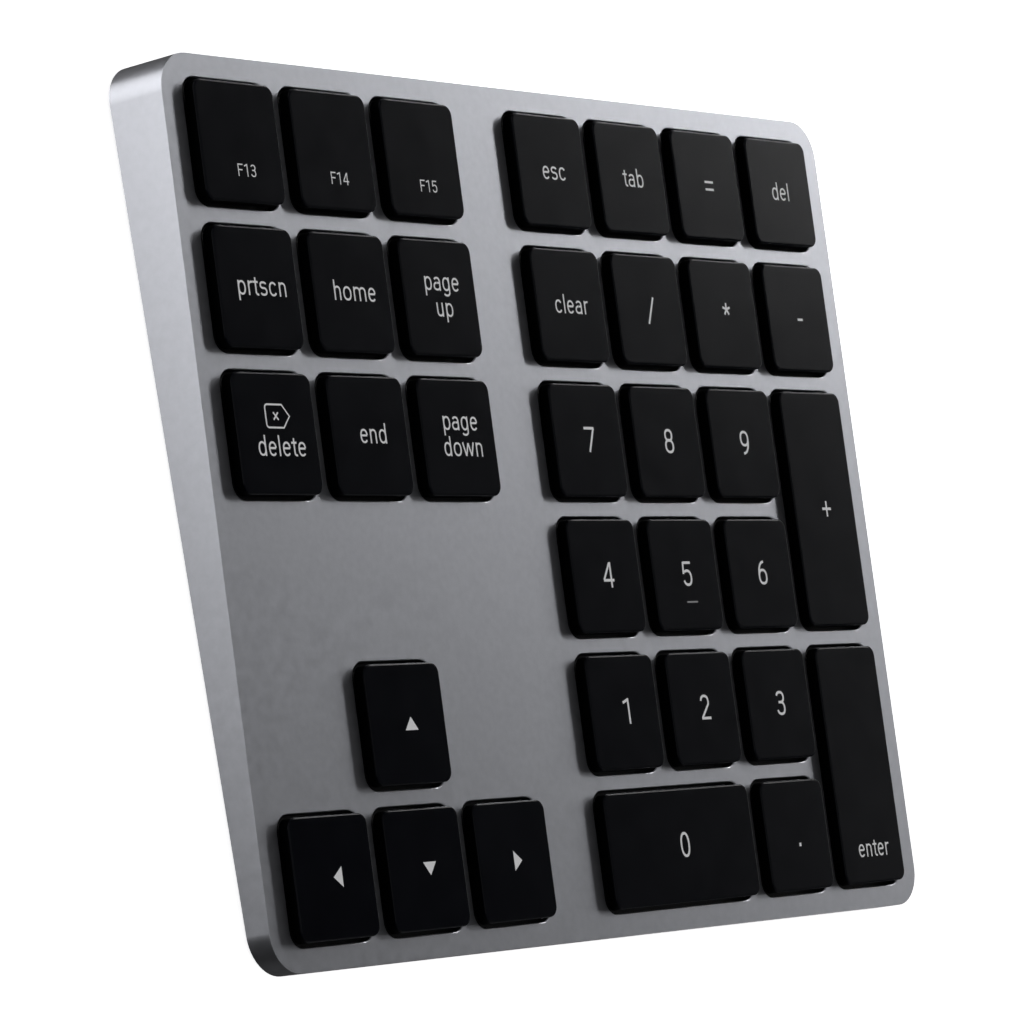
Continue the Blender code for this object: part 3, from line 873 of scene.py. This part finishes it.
def arc(x, y, rx, ry, start, end):
    """A stroke round a squared ellipse, between two angles in degrees."""
    steps = max(2, round(abs(end - start) / ARC_STEP))
    points = []
    for step in range(steps + 1):
        angle = math.radians(start + (end - start) * step / steps)
        cos = math.cos(angle)
        sin = math.sin(angle)
        along = math.copysign(abs(cos) ** (2 / BEND), cos)
        across = math.copysign(abs(sin) ** (2 / BEND), sin)
        points.append((x + rx * along, y + ry * across))
    return points


# Letters of a plain grotesque, as centre lines in ems: the advance, then the strokes
GLYPHS = {
    "a": (0.544, [line((0.425, 0), (0.425, 0.35)), arc(0.27, 0.34, 0.155, 0.147, 0, 150),
                  line((0.425, 0.295), (0.27, 0.295)), arc(0.245, 0.168, 0.16, 0.127, 90, 270),
                  arc(0.245, 0.168, 0.18, 0.127, 270, 345)]),
    "b": (0.561, [line((0.122, 0), (0.122, 0.75)), arc(0.296, 0.264, 0.174, 0.226, -180, 180)]),
    "c": (0.523, [arc(0.27, 0.264, 0.178, 0.226, 35, 325)]),
    "d": (0.564, [line((0.438, 0), (0.438, 0.75)), arc(0.265, 0.264, 0.173, 0.226, -180, 180)]),
    "e": (0.530, [line((0.09, 0.285), (0.44, 0.285)), arc(0.268, 0.264, 0.175, 0.226, 5, 320)]),
    "g": (0.561, [line((0.436, 0.528), (0.436, -0.03)), arc(0.264, 0.264, 0.172, 0.226, -180, 180),
                  arc(0.262, -0.03, 0.174, 0.135, 0, -150)]),
    "h": (0.551, [line((0.122, 0), (0.122, 0.75)), arc(0.275, 0.335, 0.152, 0.155, 180, 0),
                  line((0.427, 0.335), (0.427, 0))]),
    "l": (0.243, [line((0.121, 0), (0.121, 0.75))]),
    "m": (0.876, [line((0.122, 0), (0.122, 0.528)), arc(0.28, 0.335, 0.158, 0.155, 180, 0),
                  line((0.438, 0.335), (0.438, 0)), arc(0.596, 0.335, 0.158, 0.155, 180, 0),
                  line((0.754, 0.335), (0.754, 0))]),
    "n": (0.552, [line((0.122, 0), (0.122, 0.528)), arc(0.275, 0.335, 0.152, 0.155, 180, 0),
                  line((0.427, 0.335), (0.427, 0))]),
    "o": (0.570, [arc(0.285, 0.264, 0.195, 0.226, -180, 180)]),
    "p": (0.561, [line((0.122, -0.203), (0.122, 0.528)), arc(0.296, 0.264, 0.174, 0.226, -180, 180)]),
    "r": (0.338, [line((0.122, 0), (0.122, 0.528)), arc(0.29, 0.32, 0.168, 0.166, 180, 75)]),
    "s": (0.516, [arc(0.255, 0.387, 0.155, 0.103, 20, 270), arc(0.255, 0.162, 0.165, 0.122, 90, -155)]),
    "t": (0.327, [line((0.165, 0.655), (0.165, 0.14)), arc(0.265, 0.14, 0.10, 0.102, 180, 290),
                  line((0.02, 0.49), (0.305, 0.49))]),
    "u": (0.551, [line((0.122, 0.528), (0.122, 0.19)), arc(0.275, 0.19, 0.152, 0.152, 180, 360),
                  line((0.427, 0.528), (0.427, 0))]),
    "w": (0.751, [line((0.055, 0.528), (0.21, 0.02)), line((0.215, 0.02), (0.372, 0.50)),
                  line((0.378, 0.50), (0.535, 0.02)), line((0.54, 0.02), (0.697, 0.528))]),
    "F": (0.553, [line((0.115, 0), (0.115, 0.711)), line((0.115, 0.668), (0.515, 0.668)),
                  line((0.115, 0.365), (0.46, 0.365))]),
    "0": (0.562, [arc(0.281, 0.355, 0.18, 0.315, -180, 180)]),
    "1": (0.562, [line((0.325, 0), (0.325, 0.711)), line((0.34, 0.685), (0.085, 0.59))]),
    "2": (0.562, [arc(0.275, 0.505, 0.175, 0.165, 172, -32), line((0.425, 0.42), (0.09, 0.05)),
                  line((0.06, 0.04), (0.51, 0.04))]),
    "3": (0.562, [arc(0.27, 0.525, 0.17, 0.145, 165, -90), line((0.175, 0.38), (0.29, 0.38)),
                  arc(0.27, 0.21, 0.18, 0.17, 90, -165)]),
    "4": (0.562, [line((0.40, 0), (0.40, 0.711)), line((0.375, 0.69), (0.06, 0.215)),
                  line((0.045, 0.205), (0.535, 0.205))]),
    "5": (0.562, [line((0.13, 0.669), (0.49, 0.669)), line((0.135, 0.69), (0.105, 0.345)),
                  arc(0.285, 0.24, 0.185, 0.20, 130, -160)]),
    "6": (0.562, [arc(0.287, 0.235, 0.18, 0.195, -180, 180), arc(0.40, 0.25, 0.293, 0.42, 180, 92)]),
    "7": (0.562, [line((0.045, 0.669), (0.515, 0.669)), line((0.49, 0.665), (0.215, 0))]),
    "8": (0.562, [arc(0.281, 0.52, 0.158, 0.15, -180, 180), arc(0.281, 0.21, 0.178, 0.17, -180, 180)]),
    "9": (0.562, [arc(0.275, 0.476, 0.18, 0.195, -180, 180), arc(0.162, 0.461, 0.293, 0.42, 0, -88)]),
}


def stroke_outline(points, width):
    """The outline of a stroke with square ends, as a list of quads."""
    sides = []
    count = len(points)
    closed = math.dist(points[0], points[-1]) < CLOSED
    for i, (x, y) in enumerate(points):
        before = points[i - 1] if i else (points[-2] if closed else points[0])
        after = points[i + 1] if i < count - 1 else (points[1] if closed else points[-1])
        dx, dy = after[0] - before[0], after[1] - before[1]
        length = math.hypot(dx, dy)
        nx, ny = -dy / length * width / 2, dx / length * width / 2
        sides.append(((x + nx, y + ny), (x - nx, y - ny)))
    return [(a[1], b[1], b[0], a[0]) for a, b in zip(sides, sides[1:])]


def spread_text(text, em, x, baseline):
    """Quads for a line of text, centred on x and standing on its baseline."""
    quads = []
    pen = 0.0
    for letter in text:
        advance, strokes = GLYPHS[letter]
        for points in strokes:
            quads += [[(px + pen, py) for px, py in quad] for quad in stroke_outline(points, STROKE)]
        pen += advance
    left = min(px for quad in quads for px, _ in quad)
    right = max(px for quad in quads for px, _ in quad)
    mid = (left + right) / 2
    return [[((px - mid) * em + x, py * em + baseline) for px, py in quad] for quad in quads]


def bar(x, y, width, height):
    """A rectangle round a middle."""
    return rectangle((x - width / 2, x + width / 2), (y - height / 2, y + height / 2))


def star(x, y, radius, width):
    """An asterisk."""
    quads = []
    for arm in range(STAR_ARMS):
        angle = math.radians(90 + 360 / STAR_ARMS * arm)
        tip = (x + radius * math.cos(angle), y + radius * math.sin(angle))
        quads += stroke_outline([(x, y), tip], width)
    return quads


def arrow(turn):
    """A triangle that points along turn, in degrees from +X."""
    cos = math.cos(math.radians(turn))
    sin = math.sin(math.radians(turn))
    return [[(px * cos - py * sin + ARROW_X, px * sin + py * cos) for px, py in ARROW]]


def delete_mark(x, y):
    """The outline of a tag that points right, with a small cross in it."""
    w, h = TAG_HALF
    edge = [(x + w, y), (x + w - TAG_POINT, y + h)]
    for corner_y, start in ((y + h - TAG_R, 90), (y - h + TAG_R, 180)):
        for turn in range(start, start + 90 + TAG_TURN, TAG_TURN):
            angle = math.radians(turn)
            corner = (x - w + TAG_R + TAG_R * math.cos(angle), corner_y + TAG_R * math.sin(angle))
            edge.append(corner)
    edge += [(x + w - TAG_POINT, y - h), (x + w, y)]
    quads = stroke_outline(edge, TAG_STROKE)
    left = x - TAG_CROSS - TAG_CROSS_X
    right = x + TAG_CROSS - TAG_CROSS_X
    for side in (-1, 1):
        ends = [(left, y + side * TAG_CROSS), (right, y - side * TAG_CROSS)]
        quads += stroke_outline(ends, TAG_STROKE)
    return quads


def words(*lines):
    """Quads for (text, x, baseline) lines."""
    return [q for text, x, base in lines for q in spread_text(text, WORD_EM, x, base)]


def figure(text, x=FIGURE_PLACE[0]):
    return spread_text(text, FIGURE_EM, x, FIGURE_PLACE[1] - FIGURE_MIDDLE * FIGURE_EM)


def f_label(text):
    return spread_text(text, F_KEY_EM, *F_KEY_PLACE)


# What each keycap carries, in millimetres from its middle
LEGENDS = {
    "f13": f_label("F13"), "f14": f_label("F14"), "f15": f_label("F15"),
    "print_screen": words(("prtscn", 0.55, -1.1)),
    "home": words(("home", 0.57, -1.1)),
    "end": words(("end", 0.53, -1.05)),
    "page_up": words(("page", 0.57, 0.95), ("up", 0.57, -2.58)),
    "page_down": words(("page", 0.57, 0.95), ("down", 0.57, -2.58)),
    "delete": delete_mark(0.35, 2.25) + words(("delete", 0.52, -2.95)),
    "esc": words(("esc", 0.3, -1.22)),
    "tab": words(("tab", 0.28, -1.22)),
    "del": words(("del", -0.15, -1.2)),
    "clear": words(("clear", 0.27, -1.18)),
    "equals": [bar(0.32, 0.55, 2.1, 0.34), bar(0.32, -0.55, 2.1, 0.34)],
    "divide": stroke_outline([(-0.58, -2.03), (1.12, 1.83)], 0.36),
    "multiply": star(0.32, 0.73, 0.95, 0.34),
    "minus": [bar(0.41, -0.18, 1.35, 0.36)],
    "plus": [bar(0.41, -0.05, 2.3, 0.38), bar(0.41, -0.05, 0.38, 2.3)],
    "point": [bar(0.36, -1.4, 0.5, 0.5)],
    "enter": words(("enter", 0.4, -13.6)),
    "arrow_up": arrow(90), "arrow_left": arrow(180),
    "arrow_down": arrow(270), "arrow_right": arrow(0),
    "zero": figure("0", 0.4), "one": figure("1"), "two": figure("2"), "three": figure("3"),
    "four": figure("4"), "five": figure("5"), "six": figure("6"), "seven": figure("7"),
    "eight": figure("8"), "nine": figure("9"),
}


def print_solid(quads, bottom):
    """The joined area of overlapping shapes, as one thin solid."""
    points = []
    faces = []
    for quad in quads:
        faces.append(list(range(len(points), len(points) + len(quad))))
        points += [Vector(p) for p in quad]
    verts, _, triangles, _, _, sources = delaunay_2d_cdt(points, [], faces, 1, PRINT_WELD)
    bm = bmesh.new()
    base = [bm.verts.new((v.x, v.y, bottom)) for v in verts]
    for triangle, source in zip(triangles, sources):
        if source:
            bm.faces.new([base[i] for i in triangle])
    bmesh.ops.delete(bm, geom=[v for v in bm.verts if not v.link_faces], context="VERTS")
    flat = math.radians(PRINT_FLAT)
    bmesh.ops.dissolve_limit(bm, angle_limit=flat, verts=bm.verts, edges=bm.edges)
    raised = bmesh.ops.extrude_face_region(bm, geom=bm.faces[:])["geom"]
    top = [g for g in raised if isinstance(g, bmesh.types.BMVert)]
    bmesh.ops.translate(bm, vec=(0, 0, PRINT_T), verts=top)
    bmesh.ops.recalc_face_normals(bm, faces=bm.faces)
    return bm


def make_legend(key):
    """The print on a keycap."""
    x, y = key_place(key)
    print_layer = print_solid(LEGENDS[key], cap_top(key) - PRINT_SINK)
    piece = add_object(f"legend_{key}", moved(print_layer, x, y))
    finish_piece(piece, f"key_{key}", PRINT)


def make_homing_bar():
    """The raised bar under the figure on the middle key."""
    top = cap_top("five")
    x, y = key_place("five")
    length, width, radius = HOMING_BAR
    dx, dy = HOMING_PLACE
    rings = []
    for rise, inset in HOMING_RINGS:
        corner = radius - inset * HOMING_ROUND
        outline = rounded_outline(length - 2 * inset, width - 2 * inset, corner, SMALL_STEPS)
        rings.append((shifted(outline, x + dx, y + dy), top + rise))
    piece = add_object("homing_bar", stack(rings), BAR_SHARP)
    finish_piece(piece, "key_five", GREY_PRINT)


# ---- stage, light and camera ----
def make_floor():
    """A plain pale floor that glows, so that it's as white as the photo's background."""
    bm = bmesh.new()
    bmesh.ops.create_grid(bm, x_segments=FLOOR_CELLS, y_segments=FLOOR_CELLS, size=FLOOR_HALF)
    mesh = bpy.data.meshes.new("floor")
    bm.to_mesh(mesh)
    bm.free()
    floor = put("floor", mesh)
    paper = grainy("pale_floor", (0.86, 0.86, 0.86), 0.8, 0.0, 0.8, 0.01, 30.0, 0.005, 0.2)
    glow = paper.node_tree.nodes["Principled BSDF"].inputs
    glow["Emission Color"].default_value = (1, 1, 1, 1)
    glow["Emission Strength"].default_value = FLOOR_GLOW
    mesh.materials.append(paper)
    # The floor isn't mirrored in the case, and lets past the lights that stand under its level
    floor.visible_glossy = False
    floor.visible_shadow = False


# Name, place, target, size and brightness, in metres and W/m2/sr. The side light's top edge is level
# with the floor, so that the walls mirror it and the deck doesn't. The cards are for views from
# other sides: the high ones in the deck, and the low ones in the right, front and back walls.
SOFTBOXES = (
    ("key_light", (3.202, 1.336, 1.772), (0.03, 0.03, 0), (1.682, 0.2665), 17.52),
    ("low_key_light", (2.565, 0.090, 0.810), (0.03, 0, 0), (0.70, 0.97), 2.024),
    ("side_light", (-0.455, 0.317, -0.231), (-0.152, 0.080, -0.340), (0.776, 0.4815), 2.905),
    ("rim_light", (2.364, 1.596, 0.927), (0, 0, 0), (0.42, 0.85), 8.0),
    ("overhead", (-0.2, 0.1, 1.5), (0, 0, 0), (1.6, 1.6), 0.5),
    ("front_fill", (-0.3, -1.5, 1.3), (0, 0, 0), (1.4, 1.0), 0.80),
    ("left_fill", (-1.6, 0.1, 1.4), (0, 0, 0), (1.2, 1.2), 0.80),
    ("front_right_card", (1.4, -2.0, 1.3), (0, 0, 0), (2.2, 1.4), 0.75),
    ("back_left_card", (-1.3, 2.0, 1.3), (0, 0, 0), (2.2, 1.4), 0.65),
    ("back_right_card", (1.2, 2.3, 1.3), (0, 0, 0), (1.8, 1.4), 0.5),
    ("back_card", (0.4, 1.5, -0.5), (0, 0.06, 0), (1.8, 1.0), 0.25),
    ("right_card", (1.5, 0.0, -0.5), (0.07, 0, 0), (1.8, 1.0), 0.8),
    ("front_card", (0.4, -1.5, -0.5), (0, -0.06, 0), (1.8, 1.0), 0.18),
)


def add_softbox(name, place, target, size, radiance):
    """A rectangular light that shines from a place at a target."""
    lamp = bpy.data.lights.new(name, "AREA")
    lamp.shape = "RECTANGLE"
    lamp.size, lamp.size_y = size
    lamp.energy = radiance * size[0] * size[1] * WATTS_PER_RADIANCE
    made = put(name, lamp)
    made.location = place
    made.rotation_euler = (Vector(target) - Vector(place)).to_track_quat("-Z", "Y").to_euler()
    made.visible_camera = False


def make_lights():
    """The lights, the faint glow all round, and the view transform that the tones were set in."""
    for softbox in SOFTBOXES:
        add_softbox(*softbox)
    world = bpy.data.worlds.new("studio")
    world.use_nodes = True
    background = world.node_tree.nodes["Background"].inputs
    background["Color"].default_value = (1, 1, 1, 1)
    background["Strength"].default_value = WORLD_GLOW
    bpy.context.scene.world = world
    bpy.context.scene.view_settings.view_transform = "Standard"


def make_camera():
    """The photo's camera, as its direction, roll and distance from the target."""
    azimuth = math.radians(AZIMUTH)
    elevation = math.radians(ELEVATION)
    roll = math.radians(ROLL)
    forward = Vector((
        math.sin(azimuth) * math.cos(elevation),
        math.cos(azimuth) * math.cos(elevation),
        -math.sin(elevation)))
    level = forward.cross(Vector((0, 0, 1))).normalized()
    rise = level.cross(forward)
    right = level * math.cos(roll) + rise * math.sin(roll)
    up = rise * math.cos(roll) - level * math.sin(roll)
    data = bpy.data.cameras.new("camera")
    data.lens = LENS
    data.sensor_width = SENSOR
    data.clip_start = CLIP_START
    camera = put("camera", data)
    turn = Matrix((right, up, -forward)).transposed().to_4x4()
    camera.matrix_world = Matrix.Translation((Vector(TARGET) - forward * DISTANCE) * MM) @ turn
    bpy.context.scene.camera = camera


make_case()
make_cover()
make_feet()
make_screws()
make_film()
for key in KEYS:
    make_cap(key)
    make_legend(key)
    make_dome(key)
    make_links(key)
make_homing_bar()
make_port()
make_slider()
paint_nodes()
make_floor()
make_lights()
make_camera()
